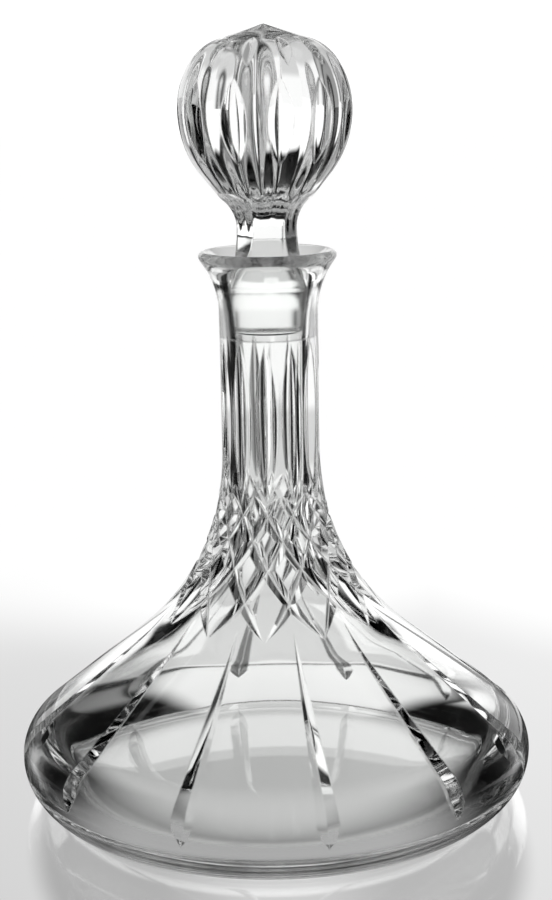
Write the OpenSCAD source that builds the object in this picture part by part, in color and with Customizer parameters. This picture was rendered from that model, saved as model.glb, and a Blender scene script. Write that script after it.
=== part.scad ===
// Ships decanter: a wide, low body with a long neck, and a ball stopper ground into its seat.
// Millimetres, +Z up. The origin is the centre of the base, on the surface that it stands on.

/* [Body] */
// Height of the whole decanter, to the point of the stopper
total_h = 259.2; // [245:0.2:285]
// Diameter at the widest line
body_d = 176; // [160:1:190]
// Height of the widest line above the base
widest_h = 14.6; // [12:0.2:18]
// Diameter of the flat base
base_d = 159; // [140:1:166]
// Radius of the rounded edge above the widest line
edge_r = 14.2; // [11:0.2:18]
// Slope of the straight shoulder, in degrees below level
shoulder_slope = 39; // [36:0.5:41]
// Radius of the hollow sweep from the shoulder up into the neck
sweep_r = 82.6; // [66:0.2:92]

/* [Neck and lip] */
// Diameter of the neck
neck_d = 33.2; // [31:0.2:38]
// Diameter over the lip
lip_d = 46; // [42:0.5:54]
// Radius of the rounded edge of the lip
lip_edge_r = 1.8; // [1.2:0.1:2.2]
// Radius of the flare under the lip
flare_r = 29.5; // [20:0.5:34]

/* [Cavity] */
// Thickness of the glass under the cavity
floor_t = 7; // [5:0.5:9]
// Thickness of the glass at the widest line
edge_wall = 8; // [6.5:0.25:10]
// Radius between the cavity floor and its side
corner_r = 8.6; // [7:0.2:11]
// Radius of the cavity above its widest line
cavity_edge_r = 14; // [11:0.5:16]
// How much flatter the cavity's shoulder is than the outside, in degrees
wall_taper = 4; // [2:0.25:5]
// Radius of the sweep from the cavity up into the bore
cavity_sweep_r = 58; // [45:1:64]

/* [Stopper] */
// Diameter of the ball
ball_d = 57.2; // [50:0.2:62]
// Height of the pointed crown above the centre of the ball
crown_h = 27.2; // [25.5:0.1:28]
// Slope of the crown, in degrees
crown_slope = 17.5; // [15:0.5:20]
// Radius of the rounded edge of the crown
crown_r = 17; // [14:0.5:19]
// Radius of the ball's outline below its widest line
ball_under_r = 33; // [30:0.5:36]
// Angle of the straight flank under the ball from the axis, in degrees
flank_angle = 38.7; // [36:0.1:42]
// Diameter of the waist over its corners
waist_d = 19.9; // [18:0.1:21.5]
// Height of the waist above the ground plug
waist_h = 18.8; // [17:0.1:21]
// Radius of the sweep from the waist up to the flank
waist_sweep_r = 8; // [6:0.5:11]
// Diameter of the ground plug at its top
plug_d = 26; // [24.5:0.1:27]
// Length of the ground plug
plug_len = 16; // [13:0.5:20]
// How much the plug narrows, in diameter for each unit of length
plug_taper = 0.2; // [0.14:0.01:0.24]
// Bevel at the foot of the plug
plug_bevel = 0.8; // [0.4:0.1:1.2]
// How far the top of the plug sits below the lip
plug_sink = 10.8; // [9.5:0.1:13]

/* [Fit] */
// Clearance between the plug and its seat, on the radius
seat_clearance = 0.15; // [0.1:0.05:0.3]
// Length of the seat below the foot of the plug
seat_extra = 2; // [1:0.5:4]
// Step from the seat in to the bore of the neck, on the radius
bore_step = 0.2; // [0.1:0.05:0.4]

/* [Cutting] */
// Number of cuts in each row, round the body and round the ball
cuts = 12; // [10:2:14]
// Angle across the mitre of a neck flute, in degrees
flute_angle = 124; // [110:2:130]
// Depth of a neck flute at its middle
flute_depth = 2.3; // [1.5:0.1:2.5]
// How far the top of the neck flutes lies below the lip
flute_drop = 28.4; // [26:0.2:36]
// Height of the foot of the neck flutes
flute_foot_h = 103.2; // [100:0.5:106]
// Height at which the crossed cuts of the diamond band start
band_top_h = 107; // [104:0.5:112]
// Length of half a diamond, as a share of the radius where it lies
band_pitch = 0.412; // [0.36:0.002:0.43]
// Depth of the crossed cuts
band_depth = 1.9; // [1:0.1:2.2]
// Angle across the mitre of the crossed and the long cuts, in degrees
mitre_angle = 106; // [96:2:116]
// Height of the narrow end of the long cuts
long_top_h = 67.3; // [64:0.5:70]
// Height at which the long cuts turn over the edge
long_turn_h = 20.6; // [19:0.2:23]
// Height of the pointed foot of the long cuts
long_foot_h = 12.8; // [11:0.2:14]
// Depth of the long cuts where they turn over the edge
long_depth = 2.9; // [2:0.1:3.4]
// Height of the upper tip of the ball's leaf cuts above the ball's centre
leaf_top = 10.4; // [8:0.2:12]
// Depth of the lower tip of the ball's leaf cuts below the ball's centre
leaf_foot = 17; // [14:0.2:18]
// Dip of the leaf cuts' bottom line, from the roundness of the wheel
leaf_dip = 0.5; // [0:0.1:1]
// Drift of the hand-spaced leaf cuts at the back of the ball, in degrees
leaf_drift = -9.6; // [-12:0.2:0]
// Radius of the inner tip of the crown's small cuts
olive_inner_r = 14.2; // [12.6:0.2:14.6]
// Height of the outer tip of the crown's small cuts above the ball's centre
olive_outer = 13.6; // [12.6:0.2:15]
// Dip of the crown cuts' bottom line
olive_dip = 0.4; // [0:0.1:0.6]
// Number of hollow panels round the waist
panels = 6; // [5:1:8]
// Depth of a panel at the waist
panel_depth = 1.2; // [0.8:0.1:1.5]
// Radius of a panel's hollow above the waist
panel_r = 12; // [10:0.5:14]
// Radius of a panel's hollow below the waist
panel_foot_r = 40; // [34:1:50]

/* [Hidden] */
$fn = 128;

// Steps along the arcs of the outlines and along the cuts
arc_step = 7;
flute_steps = 8;
band_rows = 5;
dip_steps = 4;
// How far the cutting wheels reach above the glass, and how far a tip stands clear of it
wheel_rise = 1.2;
tip_clear = 0.15;

body_r = body_d / 2;
base_r = base_d / 2;
neck_r = neck_d / 2;
step_angle = 360 / cuts;

// Turn of the cuts about the axis: a flute faces -Y, the leaf cuts stand between the flutes,
// the crown's small cuts a quarter step beside the leaves, and the panels a little off them
flute_turn = -90;
leaf_turn = flute_turn + step_angle / 2;
olive_turn = leaf_turn + step_angle / 4;
panel_turn = leaf_turn - step_angle / 6;

// Outside of the body: under-edge arc, upper edge arc, straight shoulder, hollow sweep, neck
inset = body_r - base_r;
under_r = (inset * inset + widest_h * widest_h) / (2 * inset);
edge_c = [body_r - edge_r, widest_h];
shoulder_n = [sin(shoulder_slope), cos(shoulder_slope)];
shoulder_foot = edge_c + edge_r * shoulder_n;
sweep_c = sweep_centre(neck_r, sweep_r, shoulder_n, shoulder_foot);
shoulder_head = sweep_c - sweep_r * shoulder_n;

// Stopper above its plug, up to the ball's centre, and so the height of the lip:
// the straight flank touches the ball's underside and the sweep above the waist
ball_r = ball_d / 2;
waist_r = waist_d / 2;
flank_reach = waist_r + waist_sweep_r - ball_r + ball_under_r * (1 - cos(flank_angle));
flank_rise = (waist_sweep_r - flank_reach * cos(flank_angle)) / sin(flank_angle);
ball_rise = ball_under_r * sin(flank_angle) + flank_rise;
lip_h = total_h - crown_h - ball_rise - waist_h + plug_sink;
flute_top_h = lip_h - flute_drop;

// Lip: a full round edge, with the flare below it and the funnel inside it
lip_c = [lip_d / 2 - lip_edge_r, lip_h - lip_edge_r];
flare_x = neck_r + flare_r - lip_c[0];
flare_c = [neck_r + flare_r, lip_c[1] - sqrt(pow(flare_r + lip_edge_r, 2) - flare_x * flare_x)];
flare_end = angle_to(flare_c, lip_c);

// Plug, seat and bore, all from the plug's own size
plug_r = plug_d / 2;
plug_top_h = lip_h - plug_sink;
plug_foot_h = plug_top_h - plug_len;
plug_foot_r = plug_r - plug_len * plug_taper / 2;
seat_r = plug_r + seat_clearance;
seat_foot_h = plug_foot_h - seat_extra;
seat_foot_r = seat_r - (plug_len + seat_extra) * plug_taper / 2;
bore_r = seat_foot_r - bore_step;
funnel_x = lip_c[0] - seat_r;
funnel_z = lip_c[1] - plug_top_h;
funnel_r = (funnel_x * funnel_x + funnel_z * funnel_z - lip_edge_r * lip_edge_r)
    / (2 * (funnel_x - lip_edge_r));
funnel_c = [seat_r + funnel_r, plug_top_h];
funnel_end = angle_to(funnel_c, lip_c);

// Cavity: floor, corner, upper edge, inner shoulder, inner sweep
cavity_r = body_r - edge_wall;
corner_c = [cavity_r - corner_r, floor_t + corner_r];
cavity_edge_c = [cavity_r - cavity_edge_r, corner_c[1]];
cavity_slope = shoulder_slope - wall_taper;
cavity_n = [sin(cavity_slope), cos(cavity_slope)];
cavity_sweep_c = sweep_centre(bore_r, cavity_sweep_r, cavity_n, cavity_edge_c + cavity_edge_r * cavity_n);

// Stopper: plug, collar sweep, waist, sweep, flank, underside, ball and pointed crown
waist_z = plug_top_h + waist_h;
collar_x = plug_r - waist_r;
collar_r = (collar_x * collar_x + waist_h * waist_h) / (2 * collar_x);
collar_c = [waist_r + collar_r, waist_z];
waist_sweep_c = [waist_r + waist_sweep_r, waist_z];
ball_z = waist_z + ball_rise;
ball_c = [0, ball_z];
ball_under_c = [ball_r - ball_under_r, ball_z];
crown_z = ball_z + crown_h;
crown_turn = asin((crown_h * cos(crown_slope) - crown_r) / (ball_r - crown_r)) - crown_slope;
crown_c = ball_c + (ball_r - crown_r) * [cos(crown_turn), sin(crown_turn)];

// Direction from one point of an outline to another, in degrees
function angle_to(a, b) = atan2(b[1] - a[1], b[0] - a[0]);

// Centre of a hollow sweep of radius r that touches a tube of radius x
// and the straight line through p, square to n
function sweep_centre(x, r, n, p) = [x + r, (p * n + r - (x + r) * n[0]) / n[1]];

// Points along an arc from angle a to angle b, both ends included
function arc(c, r, a, b) =
    let (n = max(2, ceil(abs(b - a) / arc_step)))
    [for (i = [0:n]) c + r * [cos(a + (b - a) * i / n), sin(a + (b - a) * i / n)]];

// Outside radius of the body at height z, below the lip's flare
function outer_r(z) =
    z >= sweep_c[1] ? neck_r
    : z >= shoulder_head[1] ? sweep_c[0] - sqrt(sweep_r * sweep_r - pow(sweep_c[1] - z, 2))
    : z >= shoulder_foot[1] ? shoulder_foot[0] - (z - shoulder_foot[1]) / tan(shoulder_slope)
    : z >= widest_h ? edge_c[0] + sqrt(edge_r * edge_r - pow(z - widest_h, 2))
    : body_r - under_r + sqrt(under_r * under_r - pow(z - widest_h, 2));

// Lean of the outside surface at height z: how far its outward normal points up, in degrees
function lean(z) =
    z >= sweep_c[1] ? 0
    : z >= shoulder_head[1] ? asin((sweep_c[1] - z) / sweep_r)
    : z >= shoulder_foot[1] ? 90 - shoulder_slope
    : z >= widest_h ? asin((z - widest_h) / edge_r)
    : asin((z - widest_h) / under_r);

// Point and outward normal on the body's outside, at height z and angle a about the axis
function on_body(z, a) = [outer_r(z) * cos(a), outer_r(z) * sin(a), z];
function body_normal(z, a) = [cos(lean(z)) * cos(a), cos(lean(z)) * sin(a), sin(lean(z))];

function unit(v) = v / norm(v);

// Height half a row of the diamond band below z: a step along the surface in proportion to its radius
function half_row(z) =
    let (mid = z - band_pitch / 4 * outer_r(z) * cos(lean(z)))
    z - band_pitch / 2 * outer_r(mid) * cos(lean(mid));
function band_h(j) = j == 0 ? band_top_h : half_row(band_h(j - 1));

// A mitre wheel's cut: a V-shaped solid along the line of its bottom points.
// Each ring is [bottom point, outward normal, height of the V], and the V opens at the given angle.
module mitre_cut(rings, angle) {
    last = len(rings) - 1;
    spread = tan(angle / 2);
    points = [for (i = [0:last])
        let (
            along = rings[min(i + 1, last)][0] - rings[max(i - 1, 0)][0],
            out = rings[i][1],
            side = unit(cross(out, along)),
            top = rings[i][0] + out * rings[i][2],
            half = side * rings[i][2] * spread
        )
        each [rings[i][0], top + half, top - half]];
    sides = [for (i = [0:last - 1])
        let (a = 3 * i, b = 3 * i + 3)
        each [[a, b, b + 1], [a, b + 1, a + 1],
              [a, a + 2, b + 2], [a, b + 2, b],
              [a + 1, b + 1, b + 2], [a + 1, b + 2, a + 2]]];
    polyhedron(points, concat([[0, 1, 2]], sides, [[3 * last, 3 * last + 2, 3 * last + 1]]));
}

// One ring of a cut into the body, with the bottom of the V at the given depth
function body_ring(z, a, depth) =
    let (n = body_normal(z, a))
    [on_body(z, a) - n * depth, n, depth + wheel_rise];

// Leaf-shaped flute up the neck: deepest at its middle, running out to a point at both ends
module neck_flute() {
    rings = [for (i = [0:flute_steps])
        let (t = i / flute_steps, swell = 4 * t * (1 - t))
        body_ring(flute_foot_h + t * (flute_top_h - flute_foot_h), 0,
                  swell * (flute_depth + tip_clear) - tip_clear)];
    mitre_cut(rings, flute_angle);
}

// One of the crossed cuts of the diamond band: half a step round for each row down.
// Its rings lie half way between the rows, so that two cuts always cross on straight stretches.
module band_cut(turn) {
    ends = 2 * band_rows;
    rings = [for (j = [0, each [1:2:ends - 1], ends])
        let (t = j / band_rows - 1, swell = 1 - pow(t, 4))
        body_ring(band_h(j), turn * (j / 2 - band_rows) * step_angle / 2,
                  swell * (band_depth + tip_clear) - tip_clear)];
    mitre_cut(rings, mitre_angle);
}

// Long cut down the shoulder: it widens as it deepens, turns over the edge and ends in a point
module long_cut() {
    head = shoulder_head[1];
    heights = [long_top_h, (long_top_h + head) / 2, head, shoulder_foot[1], long_turn_h, long_foot_h];
    rings = [for (z = heights)
        let (share = z > long_foot_h ? (long_top_h - z) / (long_top_h - long_turn_h) : 0)
        body_ring(z, 0, share * (long_depth + tip_clear) - tip_clear)];
    mitre_cut(rings, mitre_angle);
}

// Repeats its children round the axis, evenly but for a drift that is greatest half way round
module round_the_axis(count, start, drift = 0) {
    for (i = [0:count - 1])
        rotate([0, 0, start + i * 360 / count + drift * pow(sin(i * 180 / count), 2)])
            children();
}

// Outline of the solid glass of the body, from the base up to the lip
module body_outline() {
    polygon(concat(
        [[0, 0]],
        arc([body_r - under_r, widest_h], under_r, -asin(widest_h / under_r), 0),
        arc(edge_c, edge_r, 0, 90 - shoulder_slope),
        arc(sweep_c, sweep_r, 270 - shoulder_slope, 180),
        arc(flare_c, flare_r, 180, flare_end),
        arc(lip_c, lip_edge_r, flare_end - 180, funnel_end),
        [[0, lip_h - lip_edge_r]]
    ));
}

// Outline of the space inside: cavity, bore, tapered seat and the funnel of the lip
module cavity_outline() {
    polygon(concat(
        [[0, floor_t]],
        arc(corner_c, corner_r, -90, 0),
        arc(cavity_edge_c, cavity_edge_r, 0, 90 - cavity_slope),
        arc(cavity_sweep_c, cavity_sweep_r, 270 - cavity_slope, 180),
        [[bore_r, seat_foot_h], [seat_foot_r, seat_foot_h]],
        arc(funnel_c, funnel_r, 180, funnel_end),
        [[lip_d / 2, lip_h + lip_edge_r], [0, lip_h + lip_edge_r]]
    ));
}

// Body: one blown and cut piece of glass
module decanter_body() {
    color("gainsboro", 0.6)
        difference() {
            rotate_extrude() body_outline();
            rotate_extrude() cavity_outline();
            round_the_axis(cuts, flute_turn) {
                neck_flute();
                band_cut(1);
                band_cut(-1);
            }
            round_the_axis(cuts, flute_turn + step_angle / 2) long_cut();
        }
}

// Outline of the stopper before it is cut
module stopper_outline() {
    polygon(concat(
        [[0, plug_foot_h]],
        [[plug_foot_r - plug_bevel, plug_foot_h], [plug_foot_r, plug_foot_h + plug_bevel]],
        arc(collar_c, collar_r, 180 + asin(waist_h / collar_r), 180),
        arc(waist_sweep_c, waist_sweep_r, 180, 180 - flank_angle),
        arc(ball_under_c, ball_under_r, -flank_angle, 0),
        arc(ball_c, ball_r, 0, crown_turn),
        arc(crown_c, crown_r, crown_turn, 90 - crown_slope),
        [[0, crown_z]]
    ));
}

// Mitre cut between two points of the ball's outline: its ends stand just clear of the glass,
// and its bottom line dips between them
module ball_cut(a, b, dip) {
    out = unit([b[1] - a[1], 0, a[0] - b[0]]) * (b[1] > a[1] ? 1 : -1);
    height = wheel_rise + dip + ball_r * (1 - cos((angle_to(ball_c, b) - angle_to(ball_c, a)) / 2));
    rings = [for (i = [0:dip_steps])
        let (t = i / dip_steps, p = a + t * (b - a))
        [[p[0], 0, p[1]] + out * (tip_clear - 4 * dip * t * (1 - t)), out, height]];
    mitre_cut(rings, mitre_angle);
}

// Tall leaf cut round the middle of the ball
module leaf_cut() {
    foot = [ball_under_c[0] + sqrt(pow(ball_under_r, 2) - pow(leaf_foot, 2)), ball_z - leaf_foot];
    head = [sqrt(ball_r * ball_r - leaf_top * leaf_top), ball_z + leaf_top];
    ball_cut(foot, head, leaf_dip);
}

// Small leaf cut over the edge of the crown
module olive_cut() {
    outer = [sqrt(ball_r * ball_r - olive_outer * olive_outer), ball_z + olive_outer];
    inner = [olive_inner_r, crown_z - olive_inner_r * tan(crown_slope)];
    ball_cut(outer, inner, olive_dip);
}

// Hollow panel of the waist: the space outside two arcs that dip below the round surface,
// a tight one running up under the ball and a long one running down to the plug
module waist_panel() {
    flat = waist_r - panel_depth;
    dip_c = [flat + panel_r, waist_z];
    reach = 80;
    rotate([90, 0, 0])
        linear_extrude(height = waist_d, center = true)
            polygon(concat(
                arc(dip_c, panel_r, 180 - reach, 180),
                arc([flat + panel_foot_r, waist_z], panel_foot_r, 180, 180 + asin(waist_h / panel_foot_r)),
                [[dip_c[0], plug_top_h]]
            ));
}

// Stopper: ball, waist and ground plug in one piece
module stopper() {
    color("whitesmoke", 0.6)
        difference() {
            rotate_extrude() stopper_outline();
            round_the_axis(cuts, leaf_turn, leaf_drift) leaf_cut();
            round_the_axis(cuts, olive_turn) olive_cut();
            round_the_axis(panels, panel_turn) waist_panel();
        }
}

decanter_body();
stopper();
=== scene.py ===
"""Looks of a cut crystal ships decanter, built round its CAD frame.

The body and the stopper are fine surfaces of revolution, and mitre-shaped solids carried along the lines of
the wheel cuts are taken out of them. The properties are in metres and radians, as Blender keeps them. The
shapes are worked out in millimetres and degrees, as on a drawing, and a mesh is made in metres.
"""

import math
from types import SimpleNamespace

import bpy
import numpy as np
from bpy.props import FloatProperty, FloatVectorProperty, IntProperty, PointerProperty
from mathutils import Matrix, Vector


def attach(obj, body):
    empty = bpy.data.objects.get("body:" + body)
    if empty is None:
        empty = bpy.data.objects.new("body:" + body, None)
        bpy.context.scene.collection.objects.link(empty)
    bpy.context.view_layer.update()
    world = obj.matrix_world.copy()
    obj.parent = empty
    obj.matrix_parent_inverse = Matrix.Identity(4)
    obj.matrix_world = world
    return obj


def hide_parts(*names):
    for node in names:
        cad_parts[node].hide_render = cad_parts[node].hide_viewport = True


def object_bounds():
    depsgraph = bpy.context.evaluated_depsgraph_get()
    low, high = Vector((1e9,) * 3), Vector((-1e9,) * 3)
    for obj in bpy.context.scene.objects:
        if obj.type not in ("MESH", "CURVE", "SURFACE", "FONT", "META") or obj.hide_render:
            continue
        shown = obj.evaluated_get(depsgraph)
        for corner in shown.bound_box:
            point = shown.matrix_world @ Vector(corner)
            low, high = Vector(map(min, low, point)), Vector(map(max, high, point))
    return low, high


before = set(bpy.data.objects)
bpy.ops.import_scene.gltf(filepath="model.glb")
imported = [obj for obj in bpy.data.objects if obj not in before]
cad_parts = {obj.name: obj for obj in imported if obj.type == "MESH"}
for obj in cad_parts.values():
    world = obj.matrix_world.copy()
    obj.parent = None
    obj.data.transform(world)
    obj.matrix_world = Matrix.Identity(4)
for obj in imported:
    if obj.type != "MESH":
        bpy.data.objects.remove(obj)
CAD_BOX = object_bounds()

bl_info = {
    "name": "Ships decanter",
    "version": (1, 0, 0),
    "blender": (4, 5, 0),
    "location": "View3D > Sidebar > Decanter",
    "description": "Builds a cut crystal ships decanter with its stopper, stage and camera",
    "category": "Object",
}

MM = 0.001
# Millimetres in a metre and degrees in a radian, by Blender's name for the kind of unit
DRAWING_UNITS = {"LENGTH": 1 / MM, "ROTATION": math.degrees(1.0)}

# Columns round the axis
BODY_COLUMNS = 240
STOPPER_COLUMNS = 288
# Rings along one cut
FLUTE_RINGS = 41
LONG_RINGS = 41
BAND_RINGS = 61
BALL_RINGS = 17
# A cut starts and ends this far outside the glass, in millimetres as all lengths below
OVERCUT = 0.1
# How far a mitre stands out of the body, and how tall it is on the ball
BODY_MITRE_RISE = 1.2
BALL_MITRE_H = 5.5
# Edges that turn by more than this stay sharp
SHARP_EDGE = math.radians(16)
# The middle of a waist panel, in steps of the cuts from the front
PANEL_OFFSET = 0.5 - 1 / 6
# A panel's arc is used up to this share of its radius
PANEL_REACH = 0.99
# The band's rows are searched from its top down to this height, in this many points
BAND_SEARCH_FOOT = 50.0
BAND_SEARCH_STEPS = 600

# The ground glass ends over this width, and reaches this far below the plug and outside the seat
GROUND_FADE = 0.2
GROUND_BELOW = 1.0
GROUND_OUTSIDE = 0.25
# Heights from the ball's centre between which the lobes of its shading fade in and out
LOBES_IN = (-42.0, -17.0)
LOBES_OUT = (8.0, 23.0)

# The table reaches this far, this much below the base
TABLE_REACH = 6000.0
TABLE_GAP = 0.2
# Round soft boxes of the studio: strength, then azimuth from straight behind, height, radius and soft edge,
# in degrees
LIGHTS = (
    (1.15, -21, 1, 14, 4),
    (1.15, -7, 1, 15, 4),
    (1.15, 8, 1, 15, 4),
    (1.15, 22, 3, 15, 4),
    (0.5, 180, 4, 26, 8),
    (1.2, -62, 64, 12, 5),
    (1.2, 62, 64, 12, 5),
)
LIGHT_STRIPS = 9
BOUNCES = 24


class BodySettings(bpy.types.PropertyGroup):
    """Sizes of the body."""

    body_r: FloatProperty(
        name="Widest radius", description="Radius at the widest line", default=CAD_BOX[1][0], unit="LENGTH"
    )
    widest_h: FloatProperty(
        name="Widest line", description="Height of the widest line above the base",
        default=14.6 * MM, unit="LENGTH"
    )
    base_r: FloatProperty(
        name="Base radius", description="Radius of the flat base", default=79.5 * MM, unit="LENGTH"
    )
    edge_r: FloatProperty(
        name="Edge rounding", description="Radius of the rounded edge above the widest line",
        default=14.2 * MM, unit="LENGTH"
    )
    slope: FloatProperty(
        name="Shoulder slope", description="Slope of the straight shoulder below level",
        default=math.radians(39.0), subtype="ANGLE"
    )
    sweep_r: FloatProperty(
        name="Sweep", description="Radius of the hollow sweep from the shoulder up into the neck",
        default=82.6 * MM, unit="LENGTH"
    )
    neck_r: FloatProperty(
        name="Neck radius", description="Radius of the neck between its flutes",
        default=16.6 * MM, unit="LENGTH"
    )
    lip_h: FloatProperty(
        name="Lip height", description="Height of the lip above the base", default=186.3 * MM, unit="LENGTH"
    )
    lip_r: FloatProperty(
        name="Lip radius", description="Radius over the lip", default=23.0 * MM, unit="LENGTH"
    )
    lip_edge_r: FloatProperty(
        name="Lip rounding", description="Radius of the rounded edge of the lip",
        default=1.8 * MM, unit="LENGTH"
    )
    flare_r: FloatProperty(
        name="Flare", description="Radius of the flare under the lip", default=29.5 * MM, unit="LENGTH"
    )
    floor_t: FloatProperty(
        name="Floor thickness", description="Thickness of the glass under the cavity",
        default=7.0 * MM, unit="LENGTH"
    )
    edge_wall: FloatProperty(
        name="Edge wall", description="Thickness of the glass at the widest line",
        default=8.0 * MM, unit="LENGTH"
    )
    corner_r: FloatProperty(
        name="Cavity corner", description="Radius between the cavity's floor and its side",
        default=8.6 * MM, unit="LENGTH"
    )
    cavity_edge_r: FloatProperty(
        name="Cavity edge", description="Radius of the cavity above its widest line",
        default=14.0 * MM, unit="LENGTH"
    )
    cavity_slope: FloatProperty(
        name="Cavity slope", description="Slope of the cavity's shoulder below level",
        default=math.radians(35.0), subtype="ANGLE"
    )
    cavity_sweep_r: FloatProperty(
        name="Cavity sweep", description="Radius of the sweep from the cavity up into the bore",
        default=58.0 * MM, unit="LENGTH"
    )


class StopperSettings(bpy.types.PropertyGroup):
    """Sizes of the stopper and its seat."""

    ball_r: FloatProperty(
        name="Ball radius", description="Radius of the ball", default=28.6 * MM, unit="LENGTH"
    )
    crown_h: FloatProperty(
        name="Crown height", description="Height of the pointed crown above the ball's centre",
        default=27.2 * MM, unit="LENGTH"
    )
    crown_slope: FloatProperty(
        name="Crown slope", description="Slope of the crown below level",
        default=math.radians(17.5), subtype="ANGLE"
    )
    crown_r: FloatProperty(
        name="Crown rounding", description="Radius of the rounded edge of the crown",
        default=17.0 * MM, unit="LENGTH"
    )
    under_r: FloatProperty(
        name="Ball underside", description="Radius of the ball's outline below its widest line",
        default=33.0 * MM, unit="LENGTH"
    )
    flank: FloatProperty(
        name="Flank", description="Angle of the straight flank under the ball, from the axis",
        default=math.radians(38.7), subtype="ANGLE"
    )
    waist_r: FloatProperty(
        name="Waist radius", description="Radius of the waist over its corners",
        default=9.95 * MM, unit="LENGTH"
    )
    waist_h: FloatProperty(
        name="Waist height", description="Height of the waist above the plug",
        default=18.8 * MM, unit="LENGTH"
    )
    waist_sweep_r: FloatProperty(
        name="Waist sweep", description="Radius of the sweep from the waist up to the flank",
        default=8.0 * MM, unit="LENGTH"
    )
    plug_r: FloatProperty(
        name="Plug radius", description="Radius of the ground plug at its top",
        default=13.0 * MM, unit="LENGTH"
    )
    plug_len: FloatProperty(
        name="Plug length", description="Length of the ground plug", default=16.0 * MM, unit="LENGTH"
    )
    plug_taper: FloatProperty(
        name="Plug taper", description="How much the radius narrows for each unit of length", default=0.1
    )
    plug_bevel: FloatProperty(
        name="Plug bevel", description="Bevel at the foot of the plug", default=0.8 * MM, unit="LENGTH"
    )
    plug_sink: FloatProperty(
        name="Plug sink", description="How far the top of the plug sits below the lip",
        default=10.8 * MM, unit="LENGTH"
    )
    clearance: FloatProperty(
        name="Seat clearance", description="Gap between the plug and its seat, on the radius",
        default=0.15 * MM, unit="LENGTH"
    )
    seat_extra: FloatProperty(
        name="Seat length", description="Length of the seat below the foot of the plug",
        default=2.0 * MM, unit="LENGTH"
    )
    bore_step: FloatProperty(
        name="Bore step", description="Step from the seat in to the bore of the neck",
        default=0.2 * MM, unit="LENGTH"
    )
    panels: IntProperty(
        name="Waist panels", description="Number of hollow panels round the waist", default=6, min=1
    )
    panel_depth: FloatProperty(
        name="Panel depth", description="Depth of a panel at the waist", default=1.2 * MM, unit="LENGTH"
    )
    panel_r: FloatProperty(
        name="Upper panel hollow", description="Radius of a panel's hollow above the waist",
        default=12.0 * MM, unit="LENGTH"
    )
    panel_foot_r: FloatProperty(
        name="Lower panel hollow", description="Radius of a panel's hollow below the waist",
        default=40.0 * MM, unit="LENGTH"
    )


class CutSettings(bpy.types.PropertyGroup):
    """Sizes of the wheel cuts."""

    count: IntProperty(
        name="Cuts in a row", description="Number of cuts in each row", default=12, min=1
    )
    flute_foot: FloatProperty(
        name="Flute foot", description="Height of the foot of the neck flutes",
        default=103.2 * MM, unit="LENGTH"
    )
    flute_top: FloatProperty(
        name="Flute top", description="Height of the top of the neck flutes",
        default=157.9 * MM, unit="LENGTH"
    )
    flute_depth: FloatProperty(
        name="Flute depth", description="Depth of a neck flute at its middle",
        default=2.3 * MM, unit="LENGTH"
    )
    flute_angle: FloatProperty(
        name="Flute angle", description="Angle across the mitre of a neck flute",
        default=math.radians(124.0), subtype="ANGLE"
    )
    band_top: FloatProperty(
        name="Band top", description="Height at which the crossed cuts of the diamond band start",
        default=107.0 * MM, unit="LENGTH"
    )
    band_pitch: FloatProperty(
        name="Half diamond", description="Length of half a diamond, as a share of the radius there",
        default=0.412
    )
    band_rows: IntProperty(
        name="Band rows", description="Half diamonds along one crossed cut", default=5, min=1
    )
    band_depth: FloatProperty(
        name="Band depth", description="Depth of the crossed cuts", default=1.9 * MM, unit="LENGTH"
    )
    mitre_angle: FloatProperty(
        name="Mitre angle", description="Angle across the mitre of the other cuts",
        default=math.radians(106.0), subtype="ANGLE"
    )
    long_top: FloatProperty(
        name="Long cut top", description="Height of the narrow end of the long cuts",
        default=67.3 * MM, unit="LENGTH"
    )
    long_turn: FloatProperty(
        name="Long cut turn", description="Height at which the long cuts turn over the edge",
        default=20.6 * MM, unit="LENGTH"
    )
    long_foot: FloatProperty(
        name="Long cut foot", description="Height of the pointed foot of the long cuts",
        default=12.8 * MM, unit="LENGTH"
    )
    long_depth: FloatProperty(
        name="Long cut depth", description="Depth of the long cuts where they turn over the edge",
        default=2.9 * MM, unit="LENGTH"
    )
    leaf_top: FloatProperty(
        name="Leaf top", description="Upper tip of the leaf cuts above the ball's centre",
        default=10.4 * MM, unit="LENGTH"
    )
    leaf_foot: FloatProperty(
        name="Leaf foot", description="Lower tip of the leaf cuts below the ball's centre",
        default=17.0 * MM, unit="LENGTH"
    )
    leaf_drift: FloatProperty(
        name="Leaf drift", description="Drift of the leaf cuts half way round the ball",
        default=math.radians(-9.6), subtype="ANGLE"
    )
    leaf_dip: FloatProperty(
        name="Leaf dip", description="Dip of the leaf cuts' bottom line, from the round wheel",
        default=0.5 * MM, unit="LENGTH"
    )
    olive_inner_r: FloatProperty(
        name="Olive inner tip", description="Radius of the inner tip of the crown's small cuts",
        default=14.2 * MM, unit="LENGTH"
    )
    olive_outer: FloatProperty(
        name="Olive outer tip", description="Outer tip of the crown's cuts above the ball's centre",
        default=13.6 * MM, unit="LENGTH"
    )
    olive_dip: FloatProperty(
        name="Olive dip", description="Dip of the crown cuts' bottom line", default=0.4 * MM, unit="LENGTH"
    )


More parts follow.
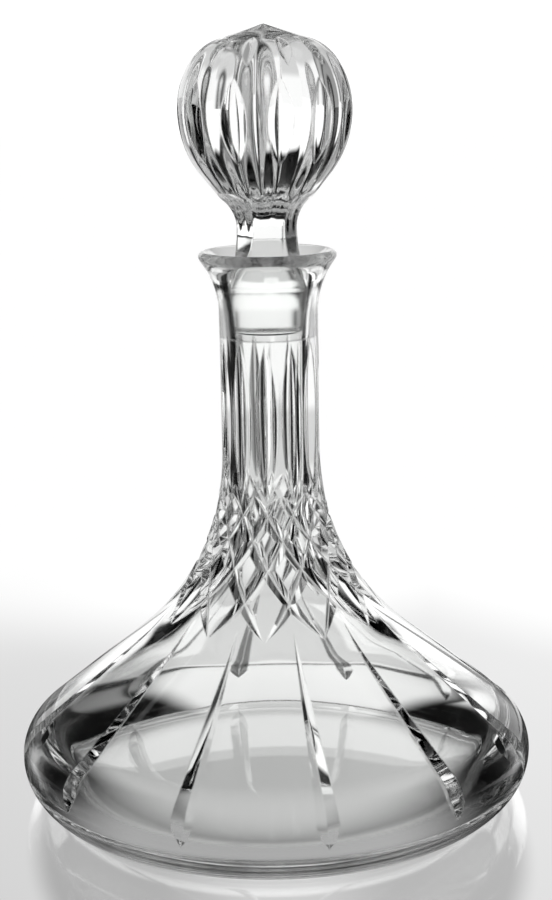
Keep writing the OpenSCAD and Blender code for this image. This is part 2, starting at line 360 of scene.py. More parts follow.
class GlassSettings(bpy.types.PropertyGroup):
    """Look of the crystal."""

    tint: FloatVectorProperty(
        name="Glass colour", description="Faint tint of the clear glass",
        default=(0.98, 0.985, 0.98), min=0.0, max=1.0, subtype="COLOR"
    )
    shine: FloatProperty(
        name="Surface shine", description="Share of the plain surface reflection that is kept",
        default=0.15, min=0.0, max=1.0, subtype="FACTOR"
    )
    body_ior: FloatProperty(
        name="Body refraction", description="Index of refraction of the body", default=1.55
    )
    stopper_ior: FloatProperty(
        name="Stopper refraction", description="Index of refraction of the stopper", default=1.62
    )
    ground: FloatProperty(
        name="Ground roughness", description="Roughness of the ground plug and its seat",
        default=0.14, min=0.0, max=1.0, subtype="FACTOR"
    )
    soft_edge: FloatProperty(
        name="Soft edges", description="Radius over which the edges of the cuts are softened",
        default=0.7 * MM, unit="LENGTH"
    )
    lobe_h: FloatProperty(
        name="Lobe height", description="Height of the shallow lobes in the ball's shading",
        default=0.5 * MM, unit="LENGTH"
    )


class StageSettings(bpy.types.PropertyGroup):
    """The level of the painted shade on the table in front, and the camera's place."""

    # Level of the painted shade on the table in front of the decanter
    table_near: FloatProperty(
        name="Table in front", description="Brightness of the table in front of the decanter",
        default=0.74, min=0.0, max=1.0, subtype="FACTOR"
    )
    lens: FloatProperty(
        name="Focal length", description="Focal length of the camera, for a sensor of 36 mm",
        default=69.76, unit="CAMERA"
    )
    distance: FloatProperty(
        name="Camera distance", description="Distance of the camera from the decanter's axis",
        default=577.4 * MM, unit="LENGTH"
    )
    height: FloatProperty(
        name="Camera height", description="Height of the camera above the base",
        default=246.3 * MM, unit="LENGTH"
    )
    azimuth: FloatProperty(
        name="Camera azimuth", description="Turn of the camera about the axis, from the front",
        default=math.radians(4.84), subtype="ANGLE"
    )
    pan: FloatProperty(
        name="Camera pan", description="Turn of the view from the axis",
        default=math.radians(-0.17), subtype="ANGLE"
    )
    down: FloatProperty(
        name="Camera tilt", description="Angle of the view below level",
        default=math.radians(12.48), subtype="ANGLE"
    )
    roll: FloatProperty(
        name="Camera roll", description="Turn of the picture about the line of view",
        default=math.radians(-1.02), subtype="ANGLE"
    )


class DecanterSettings(bpy.types.PropertyGroup):
    """All settings of the decanter."""

    body: PointerProperty(name="Body", description="Sizes of the body", type=BodySettings)
    stopper: PointerProperty(name="Stopper", description="Sizes of the stopper", type=StopperSettings)
    cuts: PointerProperty(name="Cuts", description="Sizes of the wheel cuts", type=CutSettings)
    glass: PointerProperty(name="Glass", description="Look of the crystal", type=GlassSettings)
    stage: PointerProperty(name="Stage", description="Table and camera", type=StageSettings)


def drawing(group):
    """The group's sizes as on a drawing: lengths in millimetres and angles in degrees, to four decimals."""
    sizes = SimpleNamespace()
    for name in type(group).__annotations__:
        value = getattr(group, name)
        unit = group.bl_rna.properties[name].unit
        setattr(sizes, name, round(value * DRAWING_UNITS.get(unit, 1), 4))
    return sizes


def drawings(context):
    """The sizes of the body, the stopper and the cuts, as on a drawing."""
    settings = context.scene.decanter
    return drawing(settings.body), drawing(settings.stopper), drawing(settings.cuts)


def arc(centre, radius, start, end, spacing=1.2):
    """Points along an arc: centre + radius (cos a, sin a), a going evenly from start to end in degrees."""
    length = abs(math.radians(end - start)) * radius
    steps = max(10, round(length / spacing))
    a = np.radians(np.linspace(start, end, steps + 1))
    return np.asarray(centre) + radius * np.stack([np.cos(a), np.sin(a)], axis=1)


def line(a, b, spacing=2.0):
    """Points along the straight line from a to b, without its ends."""
    steps = max(2, round(math.dist(a, b) / spacing))
    t = np.linspace(0.0, 1.0, steps + 1)[1:-1, None]
    return np.asarray(a) * (1 - t) + np.asarray(b) * t


def angle_to(a, b):
    """Direction from point a to point b, in degrees."""
    return math.degrees(math.atan2(b[1] - a[1], b[0] - a[0]))


def sweep_centre(tube_r, sweep_r, n, p):
    """Centre of a hollow arc that touches a tube of radius tube_r and the line through p square to n."""
    x = tube_r + sweep_r
    return np.array([x, (np.dot(p, n) + sweep_r - x * n[0]) / n[1]])


class BodyShape:
    """The outside of the body as tangent arcs and lines, and the tests of it that the cuts need."""

    def __init__(self, body):
        inset = body.body_r - body.base_r
        self.body = body
        self.under_r = (inset**2 + body.widest_h**2) / (2 * inset)
        self.under_c = np.array([body.body_r - self.under_r, body.widest_h])
        self.edge_c = np.array([body.body_r - body.edge_r, body.widest_h])
        slope = math.radians(body.slope)
        n = np.array([math.sin(slope), math.cos(slope)])
        self.foot = self.edge_c + body.edge_r * n
        self.sweep_c = sweep_centre(body.neck_r, body.sweep_r, n, self.foot)
        self.head = self.sweep_c - body.sweep_r * n

    def zones(self, z):
        """One test for each stretch of the outline, from the neck down, for np.select."""
        return [z >= self.sweep_c[1], z >= self.head[1], z >= self.foot[1], z >= self.body.widest_h]

    def radius(self, z):
        """Outside radius at height z: neck, hollow sweep, straight shoulder, edge arc, under-edge arc."""
        b = self.body
        sweep = self.sweep_c[0] - np.sqrt(np.clip(b.sweep_r**2 - (self.sweep_c[1] - z) ** 2, 0, None))
        shoulder = self.foot[0] - (z - self.foot[1]) / math.tan(math.radians(b.slope))
        edge = self.edge_c[0] + np.sqrt(np.clip(b.edge_r**2 - (z - b.widest_h) ** 2, 0, None))
        under = self.under_c[0] + np.sqrt(np.clip(self.under_r**2 - (z - b.widest_h) ** 2, 0, None))
        return np.select(self.zones(z), [b.neck_r + 0 * z, sweep, shoulder, edge], under)

    def lean(self, z):
        """Angle of the outward normal above level at height z, in radians."""
        b = self.body
        sweep = np.arcsin(np.clip((self.sweep_c[1] - z) / b.sweep_r, -1, 1))
        edge = np.arcsin(np.clip((z - b.widest_h) / b.edge_r, -1, 1))
        under = np.arcsin(np.clip((z - b.widest_h) / self.under_r, -1, 1))
        shoulder = math.radians(90 - b.slope) + 0 * z
        return np.select(self.zones(z), [0 * z, sweep, shoulder, edge], under)


def body_profile(body, stopper):
    """Closed outline of the body: out along the base, up the outside, over the lip and down the inside."""
    s = BodyShape(body)
    lip_c = np.array([body.lip_r - body.lip_edge_r, body.lip_h - body.lip_edge_r])
    flare_x = body.neck_r + body.flare_r
    rise = math.sqrt((body.flare_r + body.lip_edge_r) ** 2 - (flare_x - lip_c[0]) ** 2)
    flare_c = np.array([flare_x, lip_c[1] - rise])
    flare_end = angle_to(flare_c, lip_c)

    plug_top = body.lip_h - stopper.plug_sink
    seat_foot_z = plug_top - stopper.plug_len - stopper.seat_extra
    seat_r = stopper.plug_r + stopper.clearance
    seat_foot_r = seat_r - (plug_top - seat_foot_z) * stopper.plug_taper
    bore_r = seat_foot_r - stopper.bore_step
    dx, dz = lip_c[0] - seat_r, lip_c[1] - plug_top
    funnel_r = (dx**2 + dz**2 - body.lip_edge_r**2) / (2 * (dx - body.lip_edge_r))
    funnel_c = np.array([seat_r + funnel_r, plug_top])
    funnel_end = angle_to(funnel_c, lip_c)

    cavity_r = body.body_r - body.edge_wall
    corner_c = np.array([cavity_r - body.corner_r, body.floor_t + body.corner_r])
    cavity_edge_c = np.array([cavity_r - body.cavity_edge_r, corner_c[1]])
    slope = math.radians(body.cavity_slope)
    n = np.array([math.sin(slope), math.cos(slope)])
    cavity_foot = cavity_edge_c + body.cavity_edge_r * n
    inner_c = sweep_centre(bore_r, body.cavity_sweep_r, n, cavity_foot)
    cavity_head = inner_c - body.cavity_sweep_r * n

    outside = [
        [[0.0, 0.0]],
        line((0, 0), (body.base_r, 0), spacing=20.0),
        arc(s.under_c, s.under_r, -math.degrees(math.asin(body.widest_h / s.under_r)), 0),
        arc(s.edge_c, body.edge_r, 0, 90 - body.slope)[1:],
        line(s.foot, s.head),
        arc(s.sweep_c, body.sweep_r, 270 - body.slope, 180),
        line((body.neck_r, s.sweep_c[1]), (body.neck_r, flare_c[1])),
        arc(flare_c, body.flare_r, 180, flare_end),
        arc(lip_c, body.lip_edge_r, flare_end - 180, funnel_end, spacing=0.4)[1:],
    ]
    inside = [
        arc(funnel_c, funnel_r, funnel_end, 180, spacing=1.6)[1:],
        line((seat_r, plug_top), (seat_foot_r, seat_foot_z)),
        [[seat_foot_r, seat_foot_z], [bore_r, seat_foot_z]],
        line((bore_r, seat_foot_z), (bore_r, inner_c[1]), spacing=3.0),
        arc(inner_c, body.cavity_sweep_r, 180, 270 - body.cavity_slope, spacing=2.0),
        line(cavity_head, cavity_foot, spacing=2.5),
        arc(cavity_edge_c, body.cavity_edge_r, 90 - body.cavity_slope, 0),
        arc(corner_c, body.corner_r, 0, -90)[1:],
        line((corner_c[0], body.floor_t), (0, body.floor_t), spacing=10.0),
        [[0.0, body.floor_t]],
    ]
    return np.concatenate(outside + inside)


def stopper_profile(body, s):
    """Open outline of the stopper, from the foot of the plug up to the point of the crown."""
    plug_top = body.lip_h - s.plug_sink
    plug_foot = plug_top - s.plug_len
    foot_r = s.plug_r - s.plug_len * s.plug_taper
    waist_z = plug_top + s.waist_h
    dx = s.plug_r - s.waist_r
    collar_r = (dx**2 + s.waist_h**2) / (2 * dx)
    collar_c = (s.waist_r + collar_r, waist_z)
    sweep_c = (s.waist_r + s.waist_sweep_r, waist_z)
    ball_z = ball_height(body, s)
    under_c = (s.ball_r - s.under_r, ball_z)
    tilt = math.radians(s.crown_slope)
    crown_turn = math.asin((s.crown_h * math.cos(tilt) - s.crown_r) / (s.ball_r - s.crown_r)) - tilt
    crown_c = np.array([math.cos(crown_turn), math.sin(crown_turn)]) * (s.ball_r - s.crown_r) + [0, ball_z]
    sweep = arc(sweep_c, s.waist_sweep_r, 180, 180 - s.flank, spacing=0.6)
    under = arc(under_c, s.under_r, -s.flank, 0, spacing=0.8)
    crown = arc(crown_c, s.crown_r, math.degrees(crown_turn), 90 - s.crown_slope, spacing=0.6)
    return np.concatenate([
        [[0.0, plug_foot]],
        line((0, plug_foot), (foot_r - s.plug_bevel, plug_foot), spacing=4.0),
        [[foot_r - s.plug_bevel, plug_foot], [foot_r, plug_foot + s.plug_bevel]],
        line((foot_r, plug_foot + s.plug_bevel), (s.plug_r, plug_top)),
        arc(collar_c, collar_r, 180 + math.degrees(math.asin(s.waist_h / collar_r)), 180, spacing=0.8),
        sweep[1:],
        line(sweep[-1], under[0], spacing=0.8),
        under,
        arc((0, ball_z), s.ball_r, 0, math.degrees(crown_turn), spacing=0.8)[1:],
        crown[1:],
        line(crown[-1], (0, ball_z + s.crown_h), spacing=1.0),
        [[0.0, ball_z + s.crown_h]],
    ])


def ball_height(body, s):
    """Height of the ball's centre: a straight flank joins its underside and the sweep above the waist."""
    a = math.radians(s.flank)
    reach = s.waist_r + s.waist_sweep_r - s.ball_r + s.under_r * (1 - math.cos(a))
    rise = s.under_r * math.sin(a) + (s.waist_sweep_r - reach * math.cos(a)) / math.sin(a)
    return body.lip_h - s.plug_sink + s.waist_h + rise


def ground_zone(body, s):
    """Heights of the plug's foot and top, and the radius within which the glass between them is ground."""
    plug_top = body.lip_h - s.plug_sink
    return plug_top - s.plug_len, plug_top, s.plug_r + s.clearance + GROUND_OUTSIDE


def waist_panels(s, waist_z, start):
    """Squeeze for revolve(): panels in which the radius stays inside an arc in the panel's own upright plane.

    At the angle `off` from a panel's middle the radius is at most hollow / cos(off), and hollow is the arc's
    distance from the axis at height z. The arc is rounder above the waist than below it.
    """
    flat = s.waist_r - s.panel_depth
    step = 2 * np.pi / s.panels

    def squeeze(r, z, a):
        off = (a - start + step / 2) % step - step / 2
        hollow_r = np.where(z > waist_z, s.panel_r, s.panel_foot_r)
        inside = (np.abs(z - waist_z) < hollow_r * PANEL_REACH) & (r < flat + hollow_r)
        hollow = flat + hollow_r - np.sqrt(np.clip(hollow_r**2 - (z - waist_z) ** 2, 0, None))
        return np.where(inside, np.minimum(r, hollow / np.cos(off)), r)

    return squeeze


def new_mesh(name, points, faces):
    """Mesh object from points in millimetres and faces."""
    mesh = bpy.data.meshes.new(name)
    mesh.from_pydata((points * MM).tolist(), [], faces)
    mesh.update()
    obj = bpy.data.objects.new(name, mesh)
    bpy.context.scene.collection.objects.link(obj)
    return obj


def revolve(name, profile, columns, squeeze=None):
    """Closed surface: the profile's (r, z) carried round +Z to (r cos a, r sin a, z), with a pole at each end.

    squeeze(radius, z, angle) may pull the radius in, for flats and panels.
    """
    a = np.arange(columns) * 2 * np.pi / columns - np.pi / 2
    r = np.repeat(profile[1:-1, :1], columns, axis=1)
    z = np.repeat(profile[1:-1, 1:], columns, axis=1)
    if squeeze:
        r = squeeze(r, z, a[None, :])
    grid = np.stack([r * np.cos(a), r * np.sin(a), z], axis=2).reshape(-1, 3)
    ends = np.array([[0, 0, profile[0, 1]], [0, 0, profile[-1, 1]]])
    rows = len(profile) - 2
    i = np.arange(rows - 1)[:, None] * columns
    j = np.arange(columns)[None, :]
    k = (j + 1) % columns
    quads = np.stack([i + j, i + k, i + columns + k, i + columns + j], axis=2).reshape(-1, 4)
    first, last = rows * columns, rows * columns + 1
    ring = (rows - 1) * columns
    start = np.stack([np.full(columns, first), k[0], j[0]], axis=1)
    end = np.stack([np.full(columns, last), ring + j[0], ring + k[0]], axis=1)
    return new_mesh(name, np.concatenate([grid, ends]), quads.tolist() + start.tolist() + end.tolist())


def mitres(name, bottoms, normals, heights, angle):
    """V-shaped solids for the wheel cuts, one for each path.

    A triangle is carried along each path: its point is the bottom, and its two top corners stand `height` out
    along the normal and height * tan(angle / 2) to either side. bottoms and normals are (paths, rings, 3).
    """
    along = np.gradient(bottoms, axis=1)
    side = np.cross(normals, along)
    side /= np.linalg.norm(side, axis=2, keepdims=True)
    h = heights[..., None]
    top = bottoms + normals * h
    half = side * h * math.tan(math.radians(angle / 2))
    points = np.stack([bottoms, top + half, top - half], axis=2)
    paths, rings = bottoms.shape[:2]
    base = np.arange(paths)[:, None] * rings * 3
    ring = (base + np.arange(rings - 1)[None, :] * 3)[..., None]
    j = np.arange(3)
    k = (j + 1) % 3
    quads = np.stack([ring + j, ring + k, ring + 3 + k, ring + 3 + j], axis=3).reshape(-1, 4)
    near = base + np.array([[0, 2, 1]])
    far = base + (rings - 1) * 3 + np.array([[0, 1, 2]])
    return new_mesh(name, points.reshape(-1, 3), quads.tolist() + near.tolist() + far.tolist())


def spin(points, angles):
    """Copies of a path, (rings, 3), turned about +Z by each of the angles in radians: (paths, rings, 3)."""
    c, s = np.cos(angles)[:, None], np.sin(angles)[:, None]
    x, y, z = points.T
    return np.stack([c * x - s * y, s * x + c * y, np.broadcast_to(z, (len(angles), len(z)))], axis=2)


def body_cut(shape, z, turn, depth):
    """One path of a cut into the body, at heights z and turns about the axis: bottoms, normals and heights."""
    r, lean = shape.radius(z), shape.lean(z)
    normal = np.stack([np.cos(lean) * np.cos(turn), np.cos(lean) * np.sin(turn), np.sin(lean)], axis=1)
    surface = np.stack([r * np.cos(turn), r * np.sin(turn), z], axis=1)
    return surface - normal * depth[:, None], normal, depth + BODY_MITRE_RISE


def steps_round(count, offset=0.0):
    """Angles of the cuts round the axis, from the front (-Y), in radians; offset is in steps."""
    return -np.pi / 2 + (np.arange(count) + offset) * 2 * np.pi / count


def repeated(name, path, angles, angle):
    """The same cut at each of the angles about the axis."""
    bottom, normal, height = path
    heights = np.broadcast_to(height, (len(angles), len(height)))
    return mitres(name, spin(bottom, angles), spin(normal, angles), heights, angle)


def flute_path(shape, cuts):
    """Neck flute: its depth swells as 4 t (1 - t) from foot to top."""
    t = np.linspace(0, 1, FLUTE_RINGS)
    z = cuts.flute_foot + t * (cuts.flute_top - cuts.flute_foot)
    return body_cut(shape, z, 0 * z, 4 * t * (1 - t) * (cuts.flute_depth + OVERCUT) - OVERCUT)


def long_path(shape, cuts):
    """Long cut: its depth grows evenly down the shoulder to the turn, then runs out to a pointed foot."""
    z = np.concatenate([np.linspace(cuts.long_top, cuts.long_turn, LONG_RINGS), [cuts.long_foot]])
    share = np.append((cuts.long_top - z[:-1]) / (cuts.long_top - cuts.long_turn), 0.0)
    return body_cut(shape, z, 0 * z, share * (cuts.long_depth + OVERCUT) - OVERCUT)


def band_path(shape, cuts, turn):
    """Crossed cut: half a step round for each row, and a row is band_pitch times the radius along the glass."""
    z = np.linspace(cuts.band_top, BAND_SEARCH_FOOT, BAND_SEARCH_STEPS)
    slant = -np.diff(z) / np.cos(shape.lean(z))[1:]
    run = np.append(0, np.cumsum(slant / (cuts.band_pitch * shape.radius(z)[1:])))
    row = np.linspace(0, cuts.band_rows, BAND_RINGS)
    z = np.interp(row, run, z)
    t = 2 * row / cuts.band_rows - 1
    angle = turn * (row - cuts.band_rows) * np.pi / cuts.count
    return body_cut(shape, z, angle, (1 - t**4) * (cuts.band_depth + OVERCUT) - OVERCUT)


def ball_path(ball_z, a, b, dip):
    """Cut between two points (r, z) of the ball's outline, its ends standing just clear of the glass.

    The round wheel sinks its bottom line by 4 dip t (1 - t) below the straight line between the two points.
    """
    a, b = np.array(a), np.array(b)
    d = (b - a) / np.linalg.norm(b - a)
    out = np.array([d[1], -d[0]])
    if np.dot(out, a - [0, ball_z]) < 0:
        out = -out
    t = np.linspace(0, 1, BALL_RINGS)
    rise = OVERCUT - 4 * dip * t * (1 - t)
    rings = np.linspace(a, b, BALL_RINGS) + out * rise[:, None]
    bottom = np.stack([rings[:, 0], 0 * rings[:, 0], rings[:, 1]], axis=1)
    normal = np.broadcast_to([out[0], 0, out[1]], bottom.shape)
    return bottom, normal, BALL_MITRE_H - rise


def carve(obj, *cutters):
    """Takes the cutters out of obj and keeps the result as its mesh, smooth but for the edges of the cuts."""
    for cutter in cutters:
        modifier = obj.modifiers.new(cutter.name, "BOOLEAN")
        modifier.operation = "DIFFERENCE"
        modifier.solver = "MANIFOLD"
        modifier.object = cutter
    graph = bpy.context.evaluated_depsgraph_get()
    mesh = bpy.data.meshes.new_from_object(obj.evaluated_get(graph))
    if not mesh.polygons:
        raise RuntimeError("The cuts left nothing of " + obj.name)
    obj.modifiers.clear()
    old, obj.data = obj.data, mesh
    mesh.name = obj.name
    bpy.data.meshes.remove(old)
    for cutter in cutters:
        bpy.data.meshes.remove(cutter.data)
    mesh.materials.clear()
    mesh.polygons.foreach_set("material_index", np.zeros(len(mesh.polygons), np.int32))
    mesh.shade_smooth()
    mesh.set_sharp_from_angle(angle=SHARP_EDGE)


class Field:
    """A value that changes over a surface: a socket of a node tree. Sums and the like add nodes to it."""

    def __init__(self, tree, socket):
        self.tree = tree
        self.socket = socket

    def to(self, socket):
        """Links the field to a node's input."""
        self.tree.links.new(self.socket, socket)

    def math(self, operation, other=0.0):
        """Math node on the field and another field or a number."""
        node = self.tree.nodes.new("ShaderNodeMath")
        node.operation = operation
        self.to(node.inputs[0])
        if isinstance(other, Field):
            other.to(node.inputs[1])
        else:
            node.inputs[1].default_value = other
        return Field(self.tree, node.outputs[0])

    def __add__(self, other):
        return self.math("ADD", other)

    def __sub__(self, other):
        return self.math("SUBTRACT", other)

    def __mul__(self, other):
        return self.math("MULTIPLY", other)

    def larger(self, other):
        """The larger of the two at each point."""
        return self.math("MAXIMUM", other)

    def rest(self):
        """One less the field."""
        return self * -1.0 + 1.0

    def distance(self, other):
        """Square root of the sum of both squares."""
        return (self * self + other * other).math("SQRT")

    def turn(self, other):
        """Angle about the axis for x and y, from +Y towards +X, in radians."""
        return self.math("ARCTAN2", other)

    def ramp(self, low, high, at_low=0.0, at_high=1.0, smooth=True):
        """Map Range node: at_low up to low, at_high from high on, and a smooth or straight ramp between."""
        node = self.tree.nodes.new("ShaderNodeMapRange")
        node.interpolation_type = "SMOOTHSTEP" if smooth else "LINEAR"
        for name, number in (("From Min", low), ("From Max", high), ("To Min", at_low), ("To Max", at_high)):
            node.inputs[name].default_value = number
        self.to(node.inputs["Value"])
        return Field(self.tree, node.outputs[0])


def coordinates(tree, kind="Object"):
    """The x, y and z of a tree's coordinates, as fields."""
    coords = tree.nodes.new("ShaderNodeTexCoord")
    split = tree.nodes.new("ShaderNodeSeparateXYZ")
    tree.links.new(coords.outputs[kind], split.inputs[0])
    return [Field(tree, socket) for socket in split.outputs]


def seen_by_camera(tree):
    """One where the camera looks straight at the surface, and zero for all other rays."""
    return Field(tree, tree.nodes.new("ShaderNodeLightPath").outputs["Is Camera Ray"])


def new_material(name):
    """A new material and its Principled BSDF."""
    material = bpy.data.materials.new(name)
    material.use_nodes = True
    return material, material.node_tree.nodes["Principled BSDF"]


def crystal_material(name, glass, ior, ground_foot, ground_top, ground_r):
    """Clear lead crystal with softened cut edges, frosted where the plug and its seat are ground.

    The ground part lies between two heights, within a radius of the axis, in millimetres.
    """
    material, shader = new_material(name)
    tree = material.node_tree
    shader.inputs["Base Color"].default_value = (*glass.tint, 1.0)
    shader.inputs["Transmission Weight"].default_value = 1.0
    shader.inputs["IOR"].default_value = ior
    shader.inputs["Specular Tint"].default_value = (glass.shine, glass.shine, glass.shine, 1.0)
    x, y, z = coordinates(tree)
    foot, top, radius, fade = ground_foot * MM, ground_top * MM, ground_r * MM, GROUND_FADE * MM
    ground = z.ramp(foot - fade, foot) * z.ramp(top, top + fade, 1.0, 0.0)
    ground = ground * x.distance(y).ramp(radius, radius + fade, 1.0, 0.0)
    (ground * glass.ground).to(shader.inputs["Roughness"])
    edge = tree.nodes.new("ShaderNodeBevel")
    edge.samples = 4
    edge.inputs["Radius"].default_value = glass.soft_edge
    tree.links.new(edge.outputs["Normal"], shader.inputs["Normal"])
    return material


def add_lobes(material, count, height, ball_z):
    """Shallow lobes in the ball's shading: height * cos(count * turn about the axis), faded at both ends."""
    tree = material.node_tree
    normal = tree.nodes["Principled BSDF"].inputs["Normal"]
    x, y, z = coordinates(tree)
    fade_in = z.ramp(*((ball_z + h) * MM for h in LOBES_IN), 0.0, height)
    fade_out = z.ramp(*((ball_z + h) * MM for h in LOBES_OUT), 1.0, 0.0)
    lobes = (x.turn(y) * float(count)).math("COSINE")
    bump = tree.nodes.new("ShaderNodeBump")
    bump.inputs["Distance"].default_value = 1.0
    (lobes * (fade_in * fade_out)).to(bump.inputs["Height"])
    tree.links.new(normal.links[0].from_socket, bump.inputs["Normal"])
    tree.links.new(bump.outputs["Normal"], normal)


class DECANTER_OT_body(bpy.types.Operator):
    """Builds the body: blown shape, cavity and wheel cuts"""

    bl_idname = "decanter.body"
    bl_label = "Build body"

    def execute(self, context):
        body, stopper, cuts = drawings(context)
        glass = context.scene.decanter.glass
        shape = BodyShape(body)
        obj = revolve("decanter_body_crystal", body_profile(body, stopper), BODY_COLUMNS)
        front, between = steps_round(cuts.count), steps_round(cuts.count, 0.5)
        carve(
            obj,
            repeated("flutes", flute_path(shape, cuts), front, cuts.flute_angle),
            repeated("long cuts", long_path(shape, cuts), between, cuts.mitre_angle),
            repeated("band right", band_path(shape, cuts, 1), front, cuts.mitre_angle),
            repeated("band left", band_path(shape, cuts, -1), front, cuts.mitre_angle),
        )
        plug_foot, plug_top, ground_r = ground_zone(body, stopper)
        seat_foot = plug_foot - GROUND_BELOW
        ior = glass.body_ior
        material = crystal_material("Body crystal", glass, ior, seat_foot, plug_top, ground_r)
        obj.data.materials.append(material)
        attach(obj, "decanter")
        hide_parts("decanter_body")
        return {"FINISHED"}


class DECANTER_OT_stopper(bpy.types.Operator):
    """Builds the stopper: ball, waist and ground plug"""

    bl_idname = "decanter.stopper"
    bl_label = "Build stopper"

    def execute(self, context):
        body, s, cuts = drawings(context)
        glass = context.scene.decanter.glass
        ball_z = ball_height(body, s)
        plug_foot, plug_top, ground_r = ground_zone(body, s)
        panel_turn = steps_round(cuts.count, PANEL_OFFSET)[0]
        squeeze = waist_panels(s, plug_top + s.waist_h, panel_turn)
        obj = revolve("stopper_crystal", stopper_profile(body, s), STOPPER_COLUMNS, squeeze)
        leaf = ball_path(
            ball_z,
            (s.ball_r - s.under_r + math.sqrt(s.under_r**2 - cuts.leaf_foot**2), ball_z - cuts.leaf_foot),
            (math.sqrt(s.ball_r**2 - cuts.leaf_top**2), ball_z + cuts.leaf_top),
            cuts.leaf_dip,
        )
        crown_z = ball_z + s.crown_h - cuts.olive_inner_r * math.tan(math.radians(s.crown_slope))
        olive = ball_path(
            ball_z,
            (math.sqrt(s.ball_r**2 - cuts.olive_outer**2), ball_z + cuts.olive_outer),
            (cuts.olive_inner_r, crown_z),
            cuts.olive_dip,
        )
        half_turn = np.arange(cuts.count) * np.pi / cuts.count
        leaves = steps_round(cuts.count, 0.5) + math.radians(cuts.leaf_drift) * np.sin(half_turn) ** 2
        carve(
            obj,
            repeated("leaves", leaf, leaves, cuts.mitre_angle),
            repeated("olives", olive, steps_round(cuts.count, 0.75), cuts.mitre_angle),
        )
        ior = glass.stopper_ior
        material = crystal_material("Stopper crystal", glass, ior, plug_foot, plug_top, ground_r)
        add_lobes(material, cuts.count, glass.lobe_h, ball_z)
        obj.data.materials.append(material)
        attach(obj, "stopper")
        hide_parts("stopper")
        return {"FINISHED"}


class DECANTER_OT_stage(bpy.types.Operator):
    """Builds the table, the studio and the camera"""

    bl_idname = "decanter.stage"
    bl_label = "Build stage"

    def execute(self, context):
        stage = context.scene.decanter.stage
        table(stage)
        studio()
        camera(stage)
        return {"FINISHED"}


def strips_group():
    """Node group: narrow light strips that stand evenly round the axis, from X and Y, weaker on the left."""
    tree = bpy.data.node_groups.new("Light strips", "ShaderNodeTree")
    tree.interface.new_socket("X", in_out="INPUT", socket_type="NodeSocketFloat")
    tree.interface.new_socket("Y", in_out="INPUT", socket_type="NodeSocketFloat")
    tree.interface.new_socket("Level", in_out="OUTPUT", socket_type="NodeSocketFloat")
    given = tree.nodes.new("NodeGroupInput")
    turn = Field(tree, given.outputs["X"]).turn(Field(tree, given.outputs["Y"]))
    strips = (turn * float(LIGHT_STRIPS)).math("COSINE").ramp(0.4, 0.65, 0.0, 1.25)
    right = turn.math("SINE").ramp(-0.6, 0.2, 0.25, 1.0)
    (strips * right).to(tree.nodes.new("NodeGroupOutput").inputs["Level"])
    return tree


def light_strips(x, y):
    """The light strips at x and y."""
    group = x.tree.nodes.new("ShaderNodeGroup")
    group.node_tree = bpy.data.node_groups.get("Light strips") or strips_group()
    x.to(group.inputs["X"])
    y.to(group.inputs["Y"])
    return Field(x.tree, group.outputs["Level"])


def painted_table_shade(x, y, r, near):
    """Painted shade on the bare table, for how the studio light falls on it: the level near in front, white far
    off, and a little darker on the left.
    """
    left = x.ramp(-0.12, 0.12, 0.06, -0.04) * y.ramp(0.1, 0.28, 1.0, 0.0)
    tone = y.ramp(-0.1, 0.25, near, 1.0, smooth=False) - left
    return tone.larger(r.ramp(0.15, 0.6))


def table_shadow(x, y, azimuth):
    """Painted shadow and dim painted reflection of the body on the table: a soft oval in front of the base,
    turned to the camera's azimuth and weaker along its middle.
    """
    across = (x + y * math.tan(azimuth)) * (1 / 0.08)
    along = (y + 0.04) * (1 / 0.12)
    middle = across.math("ABSOLUTE").ramp(0.05, 0.5, 0.4, 1.0)
    return across.distance(along).ramp(0.93, 1.05, 0.45, 0.0) * middle


def painted_light_for_glass(x, y, r):
    """Painted light on the table that only the glass sees: a wedge behind, a painted pool of light under the
    base, wedges in front, and strips.

    The rest of the table is dark: painted shade beside the base, which also draws the dark lines in the cut
    glass.
    """
    degrees = x.turn(y).math("ABSOLUTE") * math.degrees(1.0)
    dimmed = r.ramp(0.2, 0.28, 0.0, 0.32) * r.ramp(0.65, 0.85, 1.0, 0.0)
    behind = degrees.ramp(24, 34, 1.0, 0.0) * r.ramp(0.045, 0.085) * dimmed.rest()
    # Painted pool of light under the base, for the light that comes down through the glass
    under = r.ramp(0.055, 0.08, 0.78, 0.0)
    front = degrees.ramp(110, 150, 0.0, 0.55) * r.ramp(0.055, 0.075)
    strips = light_strips(x, y) * r.ramp(0.11, 0.14) * degrees.ramp(28, 36)
    far_front = degrees.ramp(144, 156, 0.0, 0.6) * r.ramp(0.12, 0.2)
    return behind.larger(under).larger(front).larger(strips).larger(far_front)


def table_material(stage):
    """Pale gloss that lights itself: painted falloff and a painted shadow in front of the base for the camera,
    and its own pattern of painted light for the glass.
    """
    material, shader = new_material("Floor")
    shader.inputs["Base Color"].default_value = (0.02, 0.02, 0.02, 1.0)
    shader.inputs["Roughness"].default_value = 0.9
    shader.inputs["Specular IOR Level"].default_value = 0.0
    shader.inputs["Coat IOR"].default_value = 2.2
    shader.inputs["Coat Roughness"].default_value = 0.03
    shader.inputs["Emission Strength"].default_value = 1.0
    x, y, _ = coordinates(material.node_tree)
    r = x.distance(y)
    seen = seen_by_camera(material.node_tree)
    gloss = r.ramp(0.15, 0.3, 1.0, 0.0) * seen
    gloss.to(shader.inputs["Coat Weight"])
    # The coat takes a share of the light below it, so the glossy part is given a little more painted light
    direct = table_shadow(x, y, stage.azimuth).rest() * seen + gloss * 0.2
    light = direct.larger(painted_light_for_glass(x, y, r) * seen.rest())
    (painted_table_shade(x, y, r, stage.table_near) * light).to(shader.inputs["Emission Color"])
    return material


def table(stage):
    """Large pale, glossy table top just under the base."""
    low, high, z = -TABLE_REACH, TABLE_REACH, -TABLE_GAP
    points = np.array([[low, low, z], [high, low, z], [high, high, z], [low, high, z]])
    obj = new_mesh("floor", points, [[0, 1, 2, 3]])
    obj.data.materials.append(table_material(stage))


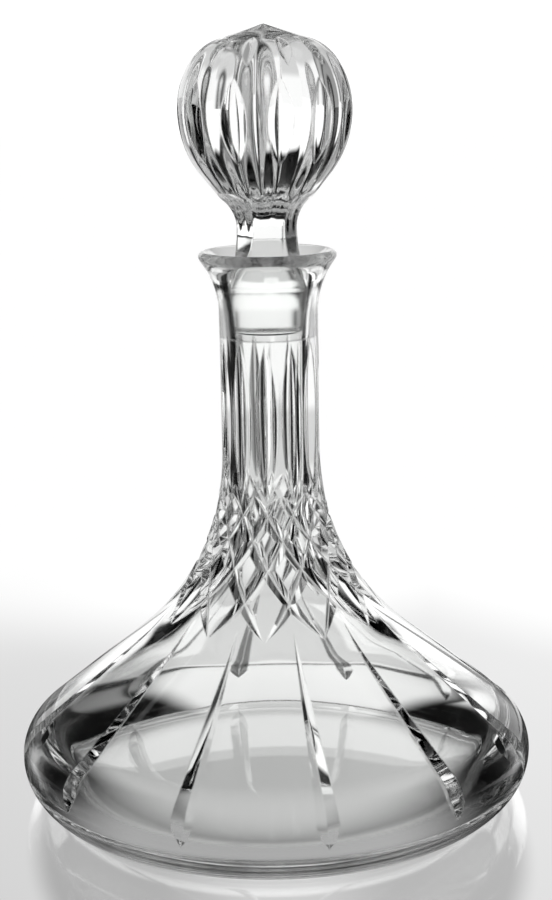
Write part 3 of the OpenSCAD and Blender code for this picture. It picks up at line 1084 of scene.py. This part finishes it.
def soft_box(tree, strength, azimuth, height, radius, soft):
    """Disc of light in the sky: full within radius of its middle, and none past the soft edge, in degrees."""
    coords = tree.nodes.new("ShaderNodeTexCoord")
    dot = tree.nodes.new("ShaderNodeVectorMath")
    dot.operation = "DOT_PRODUCT"
    tree.links.new(coords.outputs["Generated"], dot.inputs[0])
    a, h = math.radians(azimuth), math.radians(height)
    dot.inputs[1].default_value = (math.sin(a) * math.cos(h), math.cos(a) * math.cos(h), math.sin(h))
    inner, outer = math.radians(radius), math.radians(radius + soft)
    return Field(tree, dot.outputs["Value"]).ramp(math.cos(outer), math.cos(inner), 0.0, strength)


def studio():
    """White for the camera; for the glass, a dark studio with round soft boxes and light strips all round."""
    world = bpy.data.worlds.new("Studio")
    world.use_nodes = True
    tree = world.node_tree
    x, y, z = coordinates(tree, "Generated")
    sky = light_strips(x, y) * z.ramp(0.1, 0.3, 0.3, 0.02)
    for light in LIGHTS:
        sky = soft_box(tree, *light).larger(sky)
    sky.larger(seen_by_camera(tree)).to(tree.nodes["Background"].inputs["Color"])
    bpy.context.scene.world = world


def camera(stage):
    """Camera a little above the lip, looking down at the body, with the picture's slight roll."""
    data = bpy.data.cameras.new("Camera")
    data.sensor_width = 36.0
    data.lens = stage.lens
    obj = bpy.data.objects.new("Camera", data)
    x, y = math.sin(stage.azimuth), -math.cos(stage.azimuth)
    place = (stage.distance * x, stage.distance * y, stage.height)
    pan = Matrix.Rotation(stage.azimuth + stage.pan, 4, "Z")
    tilt = Matrix.Rotation(math.pi / 2 - stage.down, 4, "X")
    roll = Matrix.Rotation(stage.roll, 4, "Z")
    obj.matrix_world = Matrix.Translation(place) @ pan @ tilt @ roll
    scene = bpy.context.scene
    scene.collection.objects.link(obj)
    scene.camera = obj
    scene.view_settings.view_transform = "Standard"
    scene.cycles.max_bounces = scene.cycles.glossy_bounces = scene.cycles.transmission_bounces = BOUNCES


class DECANTER_PT_panel(bpy.types.Panel):
    """Buttons that build the decanter, and its settings"""

    bl_label = "Decanter"
    bl_space_type = "VIEW_3D"
    bl_region_type = "UI"
    bl_category = "Decanter"

    def draw(self, context):
        for name in ("decanter.body", "decanter.stopper", "decanter.stage"):
            self.layout.operator(name)
        settings = context.scene.decanter
        for part in DecanterSettings.__annotations__:
            group = getattr(settings, part)
            column = self.layout.column(align=True)
            column.label(text=part.capitalize())
            for name in type(group).__annotations__:
                column.prop(group, name)


CLASSES = (
    BodySettings,
    StopperSettings,
    CutSettings,
    GlassSettings,
    StageSettings,
    DecanterSettings,
    DECANTER_OT_body,
    DECANTER_OT_stopper,
    DECANTER_OT_stage,
    DECANTER_PT_panel,
)


def register():
    """Adds the classes and the scene's settings."""
    for cls in CLASSES:
        bpy.utils.register_class(cls)
    bpy.types.Scene.decanter = PointerProperty(
        name="Decanter", description="Settings of the decanter", type=DecanterSettings
    )


def unregister():
    """Takes the settings and the classes away again."""
    del bpy.types.Scene.decanter
    for cls in reversed(CLASSES):
        bpy.utils.unregister_class(cls)


def main():
    """Builds the decanter and its stage."""
    register()
    bpy.ops.decanter.body()
    bpy.ops.decanter.stopper()
    bpy.ops.decanter.stage()


if __name__ == "__main__":
    main()
